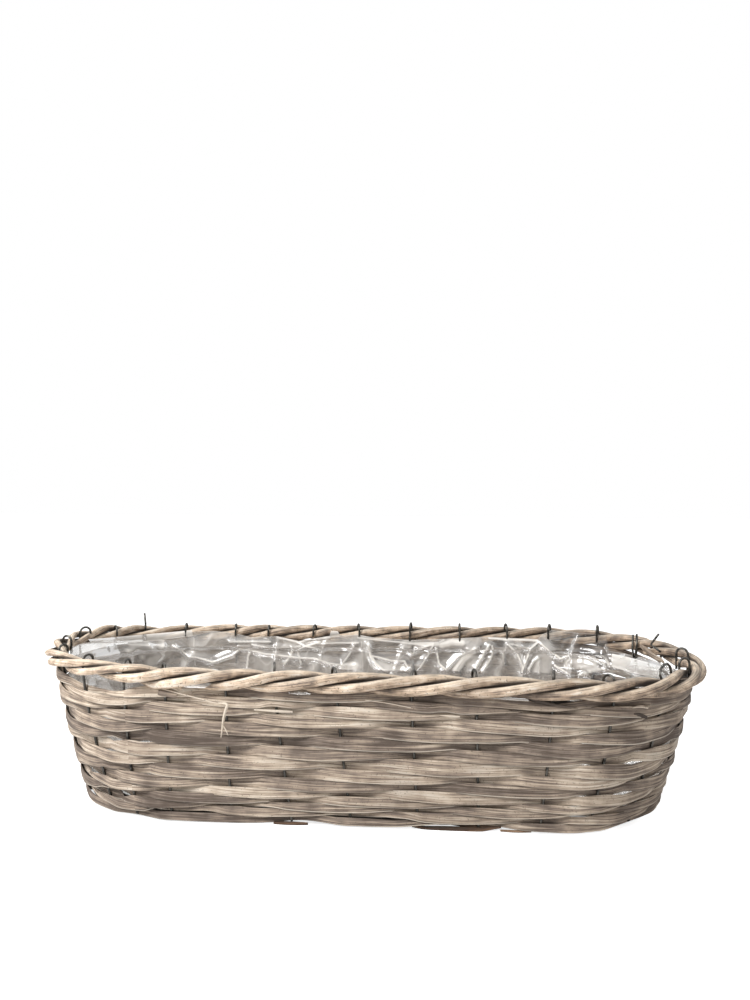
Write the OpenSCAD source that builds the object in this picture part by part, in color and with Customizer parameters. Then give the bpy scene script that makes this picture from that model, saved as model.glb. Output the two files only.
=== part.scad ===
// Long oval planter basket: split willow strips woven over wire stakes,
// with a twisted three-rod border and a thin film liner.
// Origin: middle of the base on the table. +X runs along the basket, +Z is up.

/* [Overall size] */
// Length over the border
rim_l = 600; // [420:1:900]
// Width over the border
rim_w = 262; // [200:1:400]
// Height of the border's top above the table
rim_h = 125; // [90:1:220]
// How far each round end leans in from the border to the base
end_lean = 31; // [5:1:50]
// How far each long side leans in from the border to the base
side_lean = 11; // [2:1:40]
// How far opposite corners of the border stand above and below level
rim_twist = 2.4; // [0:0.1:5]

/* [Wire stakes] */
// Diameter of the galvanised wire
wire_d = 1.8; // [1.2:0.1:2.6]
// Places of the cross wires at the front of the border, in percent of the half length
cross_front = [-66, -54, -37, -23.5, -6.5, 14, 31.5, 52, 68.5]; // [-75:0.5:75]
// Places of the cross wires at the back of the border
cross_back = [-73, -54.5, -41.5, -23.5, -7.5, 13, 31, 48, 65]; // [-75:0.5:75]
// Places of the cross wires in the base
cross_base = [-71, -59, -40, -21, -2.5, 18, 36.5, 55, 70]; // [-75:0.5:75]
// Angles of the lengthwise wires in the right end, from front to back, in degrees
right_angle = [-53, -28, -7, 20, 36, 57]; // [-65:0.5:65]
// Angles of the lengthwise wires in the left end, from back to front
left_angle = [-48, -30.5, -7, 12, 30, 59]; // [-65:0.5:65]
// Least height of a hook's straight part above the middle of the border
hook_rise = 3.5; // [2:0.5:10]
// How much more a hook may rise
hook_spread = 2.5; // [0:0.5:8]
// The same height at the two tall hooks
tall_rise = 8; // [4:0.5:14]

/* [Willow] */
// Diameter of a border rod
rod_d = 7.6; // [5:0.1:10]
// Thickness of a split strip
strip_t = 1.8; // [1.2:0.1:2.6]
// Rows of strip between the base and the border
rows = 15; // [9:3:24]
// How much the widest row is wider than the mean, as a share of it
row_swell = 0.35; // [0:0.05:0.5]
// How high up the wall the widest row lies, as a share of the rows
widest_row = 0.6; // [0.4:0.01:0.8]
// Strip rings in the base
base_rings = 7; // [5:1:9]

/* [Liner] */
// Thickness of the liner's wall, far thicker than the real film
film_t = 0.6; // [0.4:0.1:1]

/* [Clearances] */
// Gap between a strip and the wire that it passes
wire_gap = 0.3; // [0.2:0.05:0.6]
// Gap between a border rod and the wire or rod that it passes
rod_gap = 0.3; // [0.2:0.05:0.8]
// Gap between neighbouring strips, and between the liner and the weave
strip_gap = 0.3; // [0.2:0.05:0.6]

/* [Hidden] */

// stakes: the front and back ends of the cross wires, and the rays of the two ends
crosses = len(cross_front);
rays = len(right_angle);
stakes = 2 * (crosses + rays);

// the least step from one stake to the next round the border
function steps_of(places) = [for (i = [1 : len(places) - 1]) places[i] - places[i - 1]];
cross_step = min(concat(steps_of(cross_front), steps_of(cross_back))) / 100 * rim_l / 2;
ray_step = min(concat(steps_of(right_angle), steps_of(left_angle))) * PI / 180 * rim_w / 2;
least_step = min(cross_step, ray_step);

// the border: a twist with a third of a turn per stake, in straight steps
rod_steps = 3;
rod_sides = 8;
rod_turn = 2 * PI / 3;
rod_pass = wire_d / 2 + rod_gap + rod_d / 2;
rod_slant = atan(rod_turn * rod_pass / least_step);
corner_cut = cos(60 / rod_steps);

// offsets of the rods from the stake line, and how far they rise and fall
rod_off = rod_pass / cos(rod_slant);
rod_swing = rod_off * 4 / 3;
rod_shift = rod_off / 3;
rod_lift = (rod_d + rod_gap) / 2 / sin(60) / corner_cut;
border_out = rod_shift + rod_swing + rod_d / 2;
border_half = rod_lift + rod_d / 2;

// the stake line at the border, a straight-sided oval with round ends
half_l = rim_l / 2 - border_out;
half_w = rim_w / 2 - border_out;
straight = half_l - half_w;
half_turn = 2 * straight + PI * half_w;
border_z = rim_h - border_half;

// the base: wires between the strips that pass over and under them
bend_room = 0.1;
base_clear = wire_gap + bend_room;
base_off = wire_d / 2 + base_clear + strip_t / 2;
wire_z = strip_t + base_clear + wire_d / 2;
base_top = wire_z + base_off + strip_t / 2;

// the wall: one level per row, from just above the wires to just below the border
wall_off = wire_d / 2 + wire_gap + strip_t / 2;
first_row_gap = 0.6;
wall_z = wire_z + wire_d / 2 + first_row_gap;
wall_top = border_z - border_half - strip_gap;
row_wave = 1.05;
inner_off = wall_off + strip_t / 2 + strip_gap;

// the slath: where the bundle of lengthwise wires opens out into rays
slath_gap = 12;
bundle_step = 4;
bundle_gap = 0.2;
bundle_z = wire_z + wire_d + bundle_gap;
last_cross = max([for (p = cross_base) abs(p)]) / 100 * (half_l - end_lean);
slath_x = last_cross + slath_gap;
open_share = 0.12;
ring_inner = 0.15;
ring_outer = 1 - inner_off / (half_w - side_lean);
ring_share = (ring_outer - ring_inner) / base_rings;
group_share = 0.5;
flat_share = 0.2;

// the hooks over the border
hook_r = (rod_off + rod_d / 2 + rod_gap + wire_d / 2) / 2;
tail_drop = 6;
spike_stake = 24;
spike_h = 22;
bend_r = 2;
stake_levels = 6;
level_ease = 1.5;
hook_step = 137;
tall_hooks = [7, 9];

// the liner
liner_drop = 2;
liner_z = base_top + strip_gap;
liner_top = border_z - border_half - liner_drop;
liner_sides = 2 * stakes;
liner_levels = 3;

WEAVERS = [for (k = [1 : rows]) str("weaver_row_", k)];
CROSS_WIRES = [for (k = [1 : crosses]) str("cross_wire_", k)];
LONG_WIRES = [for (k = [1 : rays]) str("lengthwise_wire_", k)];
BASE_RINGS = [for (k = [1 : base_rings]) str("base_ring_", k)];
BORDER_RODS = ["border_rod_1", "border_rod_2", "border_rod_3"];

// how far the wall has leaned in at height z, from 0 at the border to 1 at the base
lean_curve = 1.3;
function lean(z) = pow(max(0, 1 - z / border_z), lean_curve);
function scale_x(z) = 1 - end_lean / half_l * lean(z);
function scale_y(z) = 1 - side_lean / half_w * lean(z);

// a point of the stake line at distance s round it, from the middle of the front
function cap_angle(s) = (s - straight) / half_w * 180 / PI - 90;
function half_point(s) =
    s < straight ? [s, -half_w]
    : s < straight + PI * half_w
        ? [straight + half_w * cos(cap_angle(s)), half_w * sin(cap_angle(s))]
    : [half_turn - s, half_w];
function half_normal(s) =
    s < straight ? [0, -1]
    : s < straight + PI * half_w ? [cos(cap_angle(s)), sin(cap_angle(s))]
    : [0, 1];
function wrap(s) = s - 2 * half_turn * floor(s / (2 * half_turn));
function line_point(s) =
    let (w = wrap(s))
    w < half_turn ? half_point(w) : -half_point(w - half_turn);
function line_normal(s) =
    let (w = wrap(s))
    w < half_turn ? half_normal(w) : -half_normal(w - half_turn);

// where each stake stands, as a distance round the stake line, at the border and in the base
function reversed(v) = [for (k = [len(v) - 1 : -1 : 0]) v[k]];
function front_place(share) =
    let (x = share / 100 * half_l, a = abs(x))
    sign(x) * (a < straight ? a
        : straight + half_w * (90 - acos((a - straight) / half_w)) * PI / 180);
function end_place(angle) = straight + half_w * (90 + angle) * PI / 180;
function all_places(front, back) = concat(
    [for (p = front) front_place(p)],
    [for (a = right_angle) end_place(a)],
    [for (p = reversed(back)) half_turn - front_place(p)],
    [for (a = left_angle) half_turn + end_place(a)]
);
BORDER_S = all_places(cross_front, cross_back);
BASE_S = all_places(cross_base, cross_base);
function stake_s(i, z) =
    let (m = i % stakes)
    BORDER_S[m] + (BASE_S[m] - BORDER_S[m]) * lean(z) + 2 * half_turn * floor(i / stakes);

// distance round the stake line at t, counted in stakes, and height z
function s_at(t, z) =
    let (i = floor(t))
    stake_s(i, z) + (t - i) * (stake_s(i + 1, z) - stake_s(i, z));

// a point of the wall at distance s, height z, and out from the stake line by off
function unit(v) = v / norm(v);
function wall_normal(s, z) =
    let (n = line_normal(s))
    unit([n[0] / scale_x(z), n[1] / scale_y(z)]);
function wall_point(s, z, off) =
    let (
        p = line_point(s),
        n = wall_normal(s, z),
        warp = rim_twist * p[0] / half_l * p[1] / half_w * z / border_z
    )
    [p[0] * scale_x(z) + off * n[0], p[1] * scale_y(z) + off * n[1], z + warp];

// a closed ring from a list of four-sided sections
module section_ring(sections) {
    n = len(sections);
    m = len(sections[0]);
    points = [for (c = sections) for (p = c) p];
    faces = [
        for (i = [0 : n - 1], j = [0 : m - 1])
            let (
                a = i * m + j,
                b = i * m + (j + 1) % m,
                c = ((i + 1) % n) * m + (j + 1) % m,
                d = ((i + 1) % n) * m + j
            )
            each [[a, b, c], [a, c, d]]
    ];
    polyhedron(points = points, faces = faces, convexity = 6);
}

// the sections of a round tube along a path, square to it, each side vector given
function path_way(path, i, closed) =
    let (n = len(path))
    closed ? path[(i + 1) % n] - path[(i + n - 1) % n]
    : path[min(i + 1, n - 1)] - path[max(i - 1, 0)];
function tube_sections(path, side, d, sides, closed) = [
    for (i = [0 : len(path) - 1])
        let (
            way = unit(path_way(path, i, closed)),
            up = unit(cross(way, side[i])),
            across = cross(up, way)
        )
        [for (j = [0 : sides - 1])
            let (a = 360 * j / sides)
            path[i] + d / 2 * (cos(a) * across + sin(a) * up)]
];

// a round tube with two flat ends
module open_tube(path, side, d, sides) {
    sections = tube_sections(path, side, d, sides, false);
    n = len(sections);
    points = [for (c = sections) for (p = c) p];
    faces = concat(
        [[for (j = [sides - 1 : -1 : 0]) j]],
        [for (i = [0 : n - 2], j = [0 : sides - 1])
            let (
                a = i * sides + j,
                b = i * sides + (j + 1) % sides,
                c = (i + 1) * sides + (j + 1) % sides,
                e = (i + 1) * sides + j
            )
            each [[a, b, c], [a, c, e]]],
        [[for (j = [0 : sides - 1]) (n - 1) * sides + j]]
    );
    polyhedron(points = points, faces = faces, convexity = 6);
}

// one of the three border rods
function rod_phase(m, t) = 120 * (t + m) - 60;
function rod_point(m, t) =
    let (
        a = rod_phase(m, t),
        p = wall_point(s_at(t, border_z), border_z, rod_shift + rod_swing * cos(a))
    )
    p + [0, 0, rod_lift * sin(a)];
module border_rod(m) {
    count = stakes * rod_steps;
    path = [for (k = [0 : count - 1]) rod_point(m, k / rod_steps)];
    side = [for (k = [0 : count - 1]) [0, 0, 1]];
    color("tan")
        section_ring(tube_sections(path, side, rod_d, rod_sides, true));
}

// height of the seam over row k, counted from the bottom
function row_share(k) = 1 + row_swell * cos(360 * (k / rows - widest_row) / row_wave);
function share_sum(k) = k < 1 ? 0 : row_share(k) + share_sum(k - 1);
function seam_z(k) = wall_z + (wall_top - wall_z) * share_sum(k) / share_sum(rows);

// one row of the wall: outside two stakes, inside the third
function row_inside(k, i) = (i - k + 3 * rows) % 3 == 2;
function row_off(k, i) = row_inside(k, i % stakes) ? -wall_off : wall_off;
function row_off_at(k, t) =
    let (i = floor(t), f = t - i)
    (1 - f) * row_off(k, i) + f * row_off(k, i + 1);
module weaver_row(k) {
    low = seam_z(k - 1);
    high = seam_z(k) - strip_gap;
    sections = [
        for (h = [0 : 2 * stakes - 1])
            let (
                s_low = s_at(h / 2, low),
                s_high = s_at(h / 2, high),
                off = row_off_at(k, h / 2),
                half = strip_t / 2
            )
            [
                wall_point(s_low, low, off - half),
                wall_point(s_high, high, off - half),
                wall_point(s_high, high, off + half),
                wall_point(s_low, low, off + half)
            ]
    ];
    color("rosybrown")
        section_ring(sections);
}

// a point of the base, a share of the way out from the slath to the wall
function base_point(s, share, z) =
    let (
        p = line_point(s),
        b = [p[0] * scale_x(0), p[1] * scale_y(0)],
        c = [max(-slath_x, min(slath_x, b[0])), 0]
    )
    [c[0] + share * (b[0] - c[0]), share * b[1], z];

// over or under each wire in turn; the inner rings pass each end's rays as one group
function is_ray(i) = i >= crosses && i < crosses + rays || i >= 2 * crosses + rays;
function right_end(i) = i < crosses + rays;
function ring_side(j, i, share) =
    let (turn = j % 2 == 0 ? 1 : -1)
    share < group_share && is_ray(i) ? (right_end(i) ? -turn : turn)
    : i % 2 == 0 ? turn : -turn;
module base_ring(j) {
    inner = ring_inner + (j - 1) * ring_share;
    outer = inner + ring_share - strip_gap / (half_w - side_lean);
    half = strip_t / 2;
    sections = [
        for (i = [1 : stakes], edge = [-flat_share, flat_share])
            let (
                s = s_at(i + edge, 0),
                z = wire_z + base_off * ring_side(j, i % stakes, inner)
            )
            [
                base_point(s, inner, z - half),
                base_point(s, inner, z + half),
                base_point(s, outer, z + half),
                base_point(s, outer, z - half)
            ]
    ];
    color("peru")
        section_ring(sections);
}

// one stake: up the wall from its bend, through the border and over the inner rod
function is_tall(i) = len(search(i, tall_hooks)) > 0;
function hook_height(i) =
    border_z + (is_tall(i) ? tall_rise : hook_rise + hook_spread * pow(sin(i * hook_step), 2));
function stake_top(i) = i == spike_stake ? border_z + spike_h : hook_height(i);
function along(i, off, z) = wall_point(stake_s(i, z), z, off);
function stake_wall(i) = [
    for (k = [0 : stake_levels])
        let (below = pow(1 - k / stake_levels, level_ease))
        along(i, 0, border_z - (border_z - wire_z - bend_r) * below)
];
function raised(p, z) = [p[0], p[1], z];
function stake_hook(i) =
    let (top = stake_top(i), warp = along(i, 0, border_z)[2] - border_z)
    i == spike_stake ? [raised(along(i, 0, border_z), top)]
    : concat(
        [for (a = [0 : 45 : 180])
            raised(along(i, hook_r * (cos(a) - 1), border_z), top + warp + hook_r * sin(a))],
        [raised(along(i, -2 * hook_r, border_z), border_z + warp - tail_drop)]
    );
function stake_bend(i) =
    let (foot = along(i, 0, wire_z + bend_r))
    [for (a = [0 : 30 : 60])
        let (p = along(i, bend_r * (sin(a) - 1), wire_z + bend_r))
        raised(p, foot[2] - bend_r * cos(a))];
function stake_path(i) = concat(stake_bend(i), stake_wall(i), stake_hook(i));

wire_sides = 6;
module cross_wire(k) {
    path = concat(reversed(stake_path(k - 1)), stake_path(2 * crosses + rays - k));
    side = [for (p = path) [1, 0, 0]];
    color("slategray")
        open_tube(path, side, wire_d, wire_sides);
}

// where a lengthwise wire leaves its bundle and drops to the level of the rings
function ray_start(i, m) =
    let (
        end = right_end(i) ? 1 : -1,
        y = (m - (rays - 1) / 2) * bundle_step
    )
    [
        base_point(stake_s(i, 0), open_share, wire_z),
        [end * (slath_x - slath_gap / 2), y, bundle_z]
    ];
function ray_side(i) =
    let (n = line_normal(stake_s(i, 0)))
    right_end(i) ? [-n[1], n[0], 0] : [n[1], -n[0], 0];
module lengthwise_wire(k) {
    right = crosses + k - 1;
    left = stakes - k;
    right_path = concat(reversed(stake_path(right)), ray_start(right, k - 1));
    left_path = concat(reversed(ray_start(left, k - 1)), stake_path(left));
    path = concat(right_path, left_path);
    side = concat(
        [for (p = right_path) ray_side(right)],
        [for (p = left_path) ray_side(left)]
    );
    color("slategray")
        open_tube(path, side, wire_d, wire_sides);
}

// the liner: an open tub of film that lies on the base and up the wall
function liner_ring(z, off) = [
    for (k = [0 : liner_sides - 1])
        wall_point(s_at(k / 2, z), z, -off)
];
function level_ring(z, off) = [for (p = liner_ring(z, off)) raised(p, z)];
module film_liner() {
    n = liner_sides;
    outer = [
        for (k = [0 : liner_levels])
            let (z = liner_z + (liner_top - liner_z) * k / liner_levels)
            k == 0 ? level_ring(z, inner_off) : liner_ring(z, inner_off)
    ];
    inner = [
        for (k = [0 : liner_levels])
            let (z = liner_z + (liner_top - liner_z) * k / liner_levels)
            k == 0 ? level_ring(z + film_t, inner_off + film_t)
            : liner_ring(z, inner_off + film_t)
    ];
    rings = concat(outer, reversed(inner));
    last = len(rings) - 1;
    under = (last + 1) * n;
    floor = under + 1;
    points = concat(
        [for (r = rings) for (p = r) p],
        [[0, 0, liner_z], [0, 0, liner_z + film_t]]
    );
    faces = concat(
        [for (j = [0 : n - 1]) [under, j, (j + 1) % n]],
        [for (i = [0 : last - 1], j = [0 : n - 1])
            let (
                a = i * n + j,
                b = (i + 1) * n + j,
                c = (i + 1) * n + (j + 1) % n,
                d = i * n + (j + 1) % n
            )
            each [[a, b, c], [a, c, d]]],
        [for (j = [0 : n - 1]) [floor, last * n + (j + 1) % n, last * n + j]]
    );
    color("aliceblue", 0.5)
        polyhedron(points = points, faces = faces, convexity = 6);
}

for (m = [1 : 3]) {
    border_rod(m);
}
for (k = [1 : rows]) {
    weaver_row(k);
}
for (k = [1 : crosses]) {
    cross_wire(k);
}
for (k = [1 : rays]) {
    lengthwise_wire(k);
}
for (j = [1 : base_rings]) {
    base_ring(j);
}
film_liner();
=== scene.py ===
# %% [markdown]
# # A long oval planter basket
#
# This lesson builds a planting trough of split willow. Flat strips are woven
# over upright wires, three round rods are twisted together as the border, and
# a sheet of clear film lines the inside. The construction is already fixed in
# a frame, which is loaded first. Blender only adds the looks.

# %% Open the frame
import math
import random

import bpy
from mathutils import Matrix, Vector, geometry, noise


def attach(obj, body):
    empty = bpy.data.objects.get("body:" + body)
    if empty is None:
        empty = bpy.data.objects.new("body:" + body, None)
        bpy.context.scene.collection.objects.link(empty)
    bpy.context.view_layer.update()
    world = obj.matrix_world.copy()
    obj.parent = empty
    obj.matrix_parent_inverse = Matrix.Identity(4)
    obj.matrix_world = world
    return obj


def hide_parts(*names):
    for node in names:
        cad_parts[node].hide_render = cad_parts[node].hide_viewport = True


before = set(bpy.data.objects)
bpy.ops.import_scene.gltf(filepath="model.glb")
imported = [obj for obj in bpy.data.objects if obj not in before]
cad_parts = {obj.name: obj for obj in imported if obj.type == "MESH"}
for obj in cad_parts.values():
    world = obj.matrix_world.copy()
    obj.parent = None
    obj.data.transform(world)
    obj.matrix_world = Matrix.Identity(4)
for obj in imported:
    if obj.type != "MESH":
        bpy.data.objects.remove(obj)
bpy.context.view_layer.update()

random.seed(7)
print("nodes in the frame:", len(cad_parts))

# %% [markdown]
# ## The camera
#
# The picture was taken a little above the border, from close by. The camera's
# place was worked out from the basket's outline, so its numbers are sizes in
# metres and angles, and the picture is 750 wide and 1000 high. A few small
# things, such as the creases of the film, are placed by a pixel of the
# picture, so a helper gives the line of sight through a pixel.

# %% Set up the camera
CAMERA_PLACE = Vector((0.0475, -0.7068, 0.2510))
YAW, PITCH, ROLL = (math.radians(angle) for angle in (-3.56, 0.83, 0.43))
FOCAL_PIXELS, PICTURE_WIDTH, PICTURE_HEIGHT = 752, 750, 1000

ahead = Vector((math.sin(YAW) * math.cos(PITCH), math.cos(YAW) * math.cos(PITCH), math.sin(PITCH)))
level = Vector((math.cos(YAW), -math.sin(YAW), 0))
upright = level.cross(ahead)
right = math.cos(ROLL) * level + math.sin(ROLL) * upright
above = math.cos(ROLL) * upright - math.sin(ROLL) * level
turn = Matrix((right, above, -ahead)).transposed()

bpy.ops.object.select_all(action="DESELECT")
bpy.ops.object.camera_add()
camera = bpy.context.object
camera.matrix_world = Matrix.Translation(CAMERA_PLACE) @ turn.to_4x4()
camera.data.sensor_width = 36
camera.data.lens = FOCAL_PIXELS / PICTURE_HEIGHT * camera.data.sensor_width
bpy.context.scene.camera = camera
print("lens in mm:", round(camera.data.lens, 2))


def sight(x, y):
    """The direction in which the camera sees a pixel."""
    across, up = x - PICTURE_WIDTH / 2, PICTURE_HEIGHT / 2 - y
    return (ahead + (across * right + up * above) / FOCAL_PIXELS).normalized()


# %% [markdown]
# ## The stake line
#
# Everything is woven round one line: an oval with straight sides, which leans
# in towards the base. The wires stand on it. A place on the wall is given by
# the distance round that line, the height, and how far it stands out from it.

# %% Sizes of the basket
MM = 0.001
RIM_L, RIM_W, RIM_H = 600 * MM, 262 * MM, 125 * MM
END_LEAN, SIDE_LEAN, RIM_TWIST = 31 * MM, 11 * MM, 2.4 * MM
WIRE_D, ROD_D, STRIP_T = 1.8 * MM, 7.6 * MM, 1.8 * MM
ROD_GAP, WIRE_GAP, STRIP_GAP = 0.3 * MM, 0.3 * MM, 0.3 * MM
CROSS_FRONT = [-66, -54, -37, -23.5, -6.5, 14, 31.5, 52, 68.5]
CROSS_BACK = [-73, -54.5, -41.5, -23.5, -7.5, 13, 31, 48, 65]
CROSS_BASE = [-71, -59, -40, -21, -2.5, 18, 36.5, 55, 70]
RIGHT_ANGLE = [-53, -28, -7, 20, 36, 57]
LEFT_ANGLE = [-48, -30.5, -7, 12, 30, 59]
ROWS, BASE_RINGS = 15, 7
ROW_SWELL, WIDEST_ROW, ROW_WAVE = 0.35, 0.6, 1.05
CROSSES, RAYS = len(CROSS_FRONT), len(RIGHT_ANGLE)
STAKES = 2 * (CROSSES + RAYS)


def steps_of(places):
    return [later - earlier for earlier, later in zip(places, places[1:])]


LEAST_STEP = min(min(steps_of(CROSS_FRONT) + steps_of(CROSS_BACK)) / 100 * RIM_L / 2,
                 math.radians(min(steps_of(RIGHT_ANGLE) + steps_of(LEFT_ANGLE))) * RIM_W / 2)
ROD_PASS = WIRE_D / 2 + ROD_GAP + ROD_D / 2
ROD_OFF = ROD_PASS * math.hypot(1, 2 * math.pi / 3 * ROD_PASS / LEAST_STEP)
ROD_SWING, ROD_SHIFT = ROD_OFF * 4 / 3, ROD_OFF / 3
ROD_LIFT = (ROD_D + ROD_GAP) / 2 / math.sin(math.radians(60)) / math.cos(math.radians(20))
BORDER_HALF = ROD_LIFT + ROD_D / 2
BORDER_OUT = ROD_SHIFT + ROD_SWING + ROD_D / 2
BORDER_Z = RIM_H - BORDER_HALF
HALF_L, HALF_W = RIM_L / 2 - BORDER_OUT, RIM_W / 2 - BORDER_OUT
STRAIGHT = HALF_L - HALF_W
HALF_TURN = 2 * STRAIGHT + math.pi * HALF_W
LEAN_CURVE = 1.3
WIRE_Z = STRIP_T + WIRE_GAP + 0.1 * MM + WIRE_D / 2
WALL_Z = WIRE_Z + WIRE_D / 2 + 0.6 * MM
WALL_TOP = BORDER_Z - BORDER_HALF - STRIP_GAP
print("border at mm:", round(BORDER_Z / MM, 2), "stakes:", STAKES)


# %% Places on the wall
def half_line(s):
    """A point of the stake line and the way out from it, for the front half."""
    if s < STRAIGHT:
        return Vector((s, -HALF_W, 0)), Vector((0, -1, 0))
    if s < STRAIGHT + math.pi * HALF_W:
        a = (s - STRAIGHT) / HALF_W - math.pi / 2
        out = Vector((math.cos(a), math.sin(a), 0))
        return Vector((STRAIGHT, 0, 0)) + HALF_W * out, out
    return Vector((HALF_TURN - s, HALF_W, 0)), Vector((0, 1, 0))


def line(s):
    s %= 2 * HALF_TURN
    if s < HALF_TURN:
        return half_line(s)
    point, out = half_line(s - HALF_TURN)
    return -point, -out


def line_place(x, y):
    """The distance round the stake line of the place that lies nearest to x, y."""
    side = 1 if x > STRAIGHT or (x >= -STRAIGHT and y < 0) else -1
    if abs(x) <= STRAIGHT:
        return x if side > 0 else HALF_TURN - x
    angle = math.atan2(side * y, side * x - STRAIGHT)
    return (0 if side > 0 else HALF_TURN) + STRAIGHT + HALF_W * (angle + math.pi / 2)


def lean(z):
    return max(0, 1 - z / BORDER_Z) ** LEAN_CURVE


def shrink(z):
    """How much smaller the stake line is at height z, along and across."""
    return 1 - END_LEAN / HALF_L * lean(z), 1 - SIDE_LEAN / HALF_W * lean(z)


def wall(s, z, off=0.0):
    """The point at distance s round the wall and height z, out from the stakes by off."""
    p, out = line(s)
    sx, sy = shrink(z)
    n = Vector((out.x / sx, out.y / sy, 0)).normalized()
    warp = RIM_TWIST * p.x / HALF_L * p.y / HALF_W * z / BORDER_Z
    return Vector((p.x * sx + off * n.x, p.y * sy + off * n.y, z + warp))


def seen_at(x, y, off, back=False):
    """Where the line of sight through a pixel meets the wall: the distance round it and the height."""
    way = sight(x, y)
    reach = ((HALF_W if back else -HALF_W) - CAMERA_PLACE.y) / way.y
    for _ in range(12):
        p = CAMERA_PLACE + reach * way
        sx, sy = shrink(p.z)
        s = line_place(p.x / sx, p.y / sy)
        out = line(s)[1]
        reach += out.dot(wall(s, p.z, off) - p) / out.dot(way)
    return s, p.z


# %% Places of the stakes
def front_place(share):
    a = abs(share) / 100 * HALF_L
    if a > STRAIGHT:
        a = STRAIGHT + HALF_W * (math.pi / 2 - math.acos((a - STRAIGHT) / HALF_W))
    return math.copysign(a, share)


def end_place(angle):
    return STRAIGHT + HALF_W * math.radians(90 + angle)


def all_places(front, back):
    places = [front_place(p) for p in front] + [end_place(a) for a in RIGHT_ANGLE]
    places += [HALF_TURN - front_place(p) for p in reversed(back)]
    return places + [HALF_TURN + end_place(a) for a in LEFT_ANGLE]


BORDER_S = all_places(CROSS_FRONT, CROSS_BACK)
BASE_S = all_places(CROSS_BASE, CROSS_BASE)


def stake_s(i, z):
    m = i % STAKES
    return BORDER_S[m] + (BASE_S[m] - BORDER_S[m]) * lean(z) + 2 * HALF_TURN * (i // STAKES)


def s_at(t, z):
    """The distance round the wall at t, counted in stakes, and height z."""
    i = math.floor(t)
    return stake_s(i, z) + (t - i) * (stake_s(i + 1, z) - stake_s(i, z))


def ease(x):
    x = min(1, max(0, x))
    return x * x * (3 - 2 * x)


def hump(t, start, end, soft=0.35):
    """1 between two places round the wall, counted in stakes, with soft ends."""
    t = (t - start + 3) % STAKES + start - 3
    return ease((t - start) / soft) * ease((end - t) / soft)


def wander(*place):
    """Smooth noise from -1 to 1 at up to three coordinates."""
    return noise.noise(Vector((*place, 0, 0)[:3]))


def drift(t, rate, seed):
    """Smooth noise that closes on itself after one turn round the basket."""
    angle = 2 * math.pi * t / STAKES
    r = STAKES * rate / (2 * math.pi)
    return wander(r * math.cos(angle), r * math.sin(angle), seed * 7.31)


# %% [markdown]
# ## A skin over rings of points
#
# Willow and wire are long thin things that bend the whole way. Each is made
# from a flat grid, which is then rolled into rings along its path, as a strip
# is cut flat and then woven. The grid brings a UV map with it, and the map is
# laid out in metres along and round the piece, so the grain of the wood can
# follow every bend.

# %% Roll a grid into rings
def running_sum(steps):
    total, sums = 0, [0]
    for step in steps:
        total += step
        sums.append(total)
    return sums


def skin(name, rings, closed, marks=None):
    """A mesh through rings of points, with named values on its vertices from marks."""
    n, m = len(rings), len(rings[0])
    steps = n if closed else n - 1
    bpy.ops.object.select_all(action="DESELECT")
    bpy.ops.mesh.primitive_grid_add(x_subdivisions=steps, y_subdivisions=m, size=1)
    piece = bpy.context.object
    piece.name = piece.data.name = name
    mesh = piece.data
    where = [(round((v.co.x + 0.5) * steps) % n, round((v.co.y + 0.5) * m) % m) for v in mesh.vertices]
    for vertex, (i, j) in zip(mesh.vertices, where):
        vertex.co = rings[i][j]
    for title, values in (marks or {}).items():
        layer = mesh.attributes.new(title, "FLOAT", "POINT")
        layer.data.foreach_set("value", [values[i][j] for i, j in where])
    along_it = running_sum((rings[(i + 1) % n][0] - rings[i][0]).length for i in range(steps))
    round_it = [running_sum((ring[(j + 1) % m] - ring[j]).length for j in range(m)) for ring in rings]
    for corner in mesh.uv_layers.active.data:
        i, j = round(corner.uv[0] * steps), round(corner.uv[1] * m)
        corner.uv = (along_it[i], round_it[i % n][j])
    bpy.ops.object.mode_set(mode="EDIT")
    bpy.ops.mesh.select_all(action="SELECT")
    bpy.ops.mesh.remove_doubles(threshold=1e-7)
    if not closed:
        bpy.ops.mesh.fill_holes(sides=m + 1)
    bpy.ops.mesh.select_all(action="SELECT")
    bpy.ops.mesh.normals_make_consistent(inside=False)
    bpy.ops.object.mode_set(mode="OBJECT")
    bpy.ops.object.shade_smooth()
    return piece


def tube_rings(path, radius, sides, closed=False, up=Vector((0, 0, 1))):
    """Rings of a round tube along a path. radius is a number or a function of the ring and the angle."""
    n = len(path)
    rings = []
    for i in range(n):
        before = path[(i - 1) % n] if closed else path[max(i - 1, 0)]
        after = path[(i + 1) % n] if closed else path[min(i + 1, n - 1)]
        way = (after - before).normalized()
        across = way.cross(up).normalized()
        lift = across.cross(way)
        ring = []
        for j in range(sides):
            a = 2 * math.pi * j / sides
            r = radius(i, a) if callable(radius) else radius
            ring.append(path[i] + r * (math.cos(a) * across + math.sin(a) * lift))
        rings.append(ring)
    return rings


def like(rings, value):
    """The same value for every point of the rings."""
    return [[value] * len(ring) for ring in rings]


def paint(piece, *finishes):
    piece.data.materials.clear()
    for finish in finishes:
        piece.data.materials.append(finish)


def stand_for(piece, slot, *nodes):
    """The piece rides on the basket and replaces nodes of the frame; its slot is not used."""
    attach(piece, "root")
    if nodes:
        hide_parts(*nodes)
    return piece


# %% [markdown]
# ## Materials
#
# Every finish is a small network of nodes. Colours are written as sRGB hex
# values, as a paint shop would, and one function turns them to the linear
# values that Blender mixes. A second function adds a node with its settings
# and its links, so a material reads as a short list.

# %% Helpers for materials
def linear(code, alpha=1.0):
    values = [int(code[i:i + 2], 16) / 255 for i in (1, 3, 5)]
    return [v / 12.92 if v <= 0.04045 else ((v + 0.055) / 1.055) ** 2.4 for v in values] + [alpha]


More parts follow.
